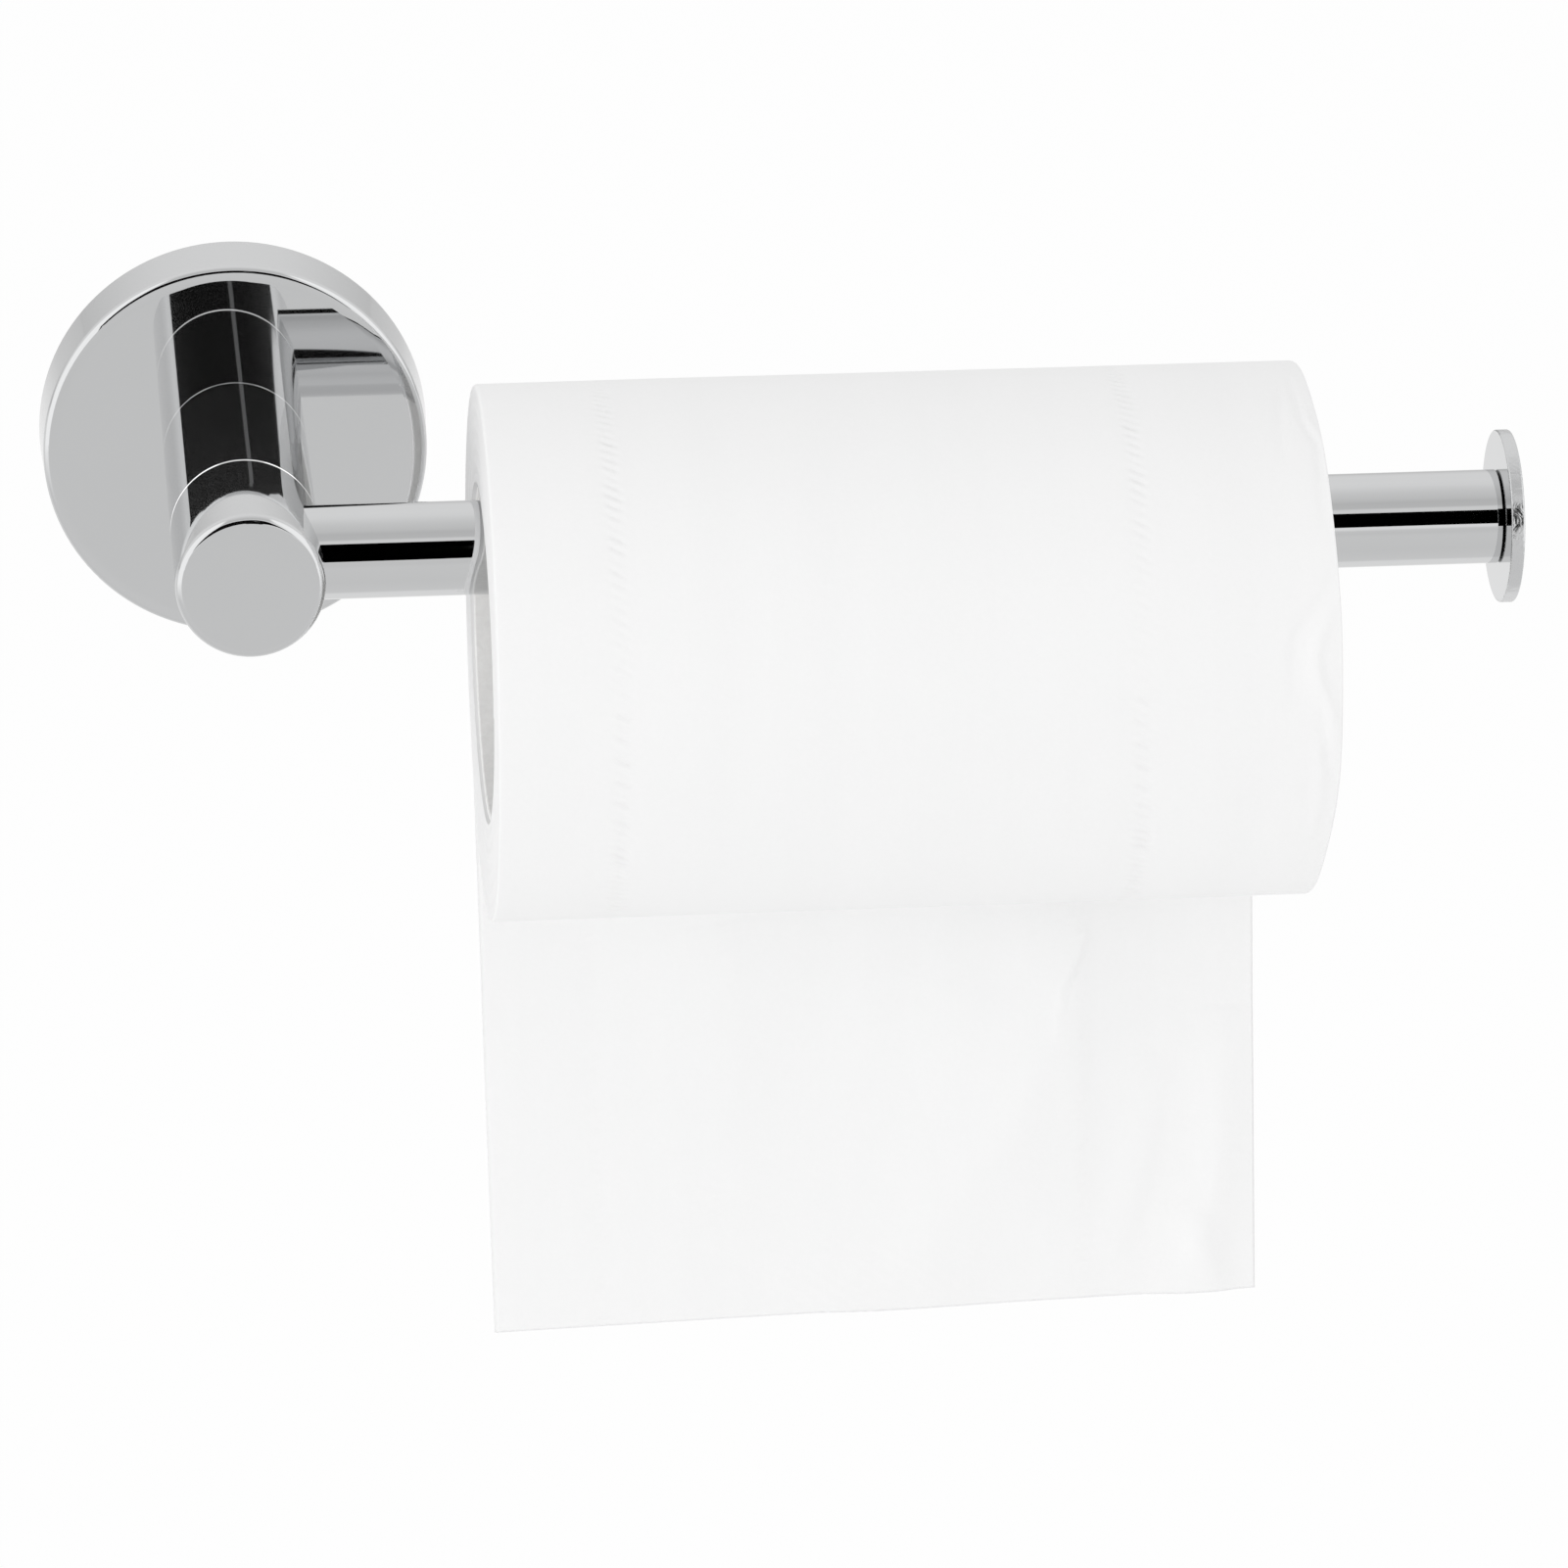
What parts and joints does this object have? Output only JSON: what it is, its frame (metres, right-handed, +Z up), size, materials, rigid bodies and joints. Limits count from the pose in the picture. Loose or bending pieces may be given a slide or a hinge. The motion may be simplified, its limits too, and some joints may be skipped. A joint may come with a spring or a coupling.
{
  "type": "toilet paper holder",
  "caption": "Wall-mounted single-arm toilet paper holder in polished chrome, with a round flange, post and stop disc, and a paper roll that turns and slides on the arm.",
  "frame": {"origin": "centre of the round wall flange, in the wall's plane", "axes": "+X along the arm towards its stop disc, +Y into the wall, +Z up"},
  "size_m": [0.1869, 0.1147, 0.149],
  "materials": {
    "polished_chrome": "polished",
    "bracket_zinc": "satin",
    "screw_steel": "satin",
    "stainless": "satin",
    "insert_brass": "satin",
    "core_board": "matte",
    "tissue_paper": "matte"
  },
  "bodies": {
    "holder": {"wall_bracket": "bracket_zinc", "wall_screws": "screw_steel", "wall_flange": "polished_chrome", "flange_grub_screw": "stainless", "lock_washer": "screw_steel", "neck_bolt": "screw_steel", "flange_dowel": "stainless", "head_dowel": "stainless", "post_neck": "polished_chrome", "post_stud": "screw_steel", "post_head": "polished_chrome", "arm_tube": "polished_chrome", "arm_root_insert": "insert_brass", "arm_stud": "screw_steel", "arm_tip_insert": "insert_brass", "disc_stud": "screw_steel", "end_disc": "polished_chrome"},
    "loose_sheet": {"paper_tail": "tissue_paper"},
    "roll": {"cardboard_core": "core_board", "paper_roll": "tissue_paper"}
  },
  "joints": [
    {"name": "roll_slide", "type": "slide", "parent": "holder", "child": "loose_sheet", "axis": [1, 0, 0], "range_m": [-0.0195, 0.0245]},
    {"name": "roll_spin", "type": "hinge", "parent": "loose_sheet", "child": "roll", "pos_m": [0.08215, -0.0525, -0.0142], "axis": [1, 0, 0], "continuous": true}
  ]
}
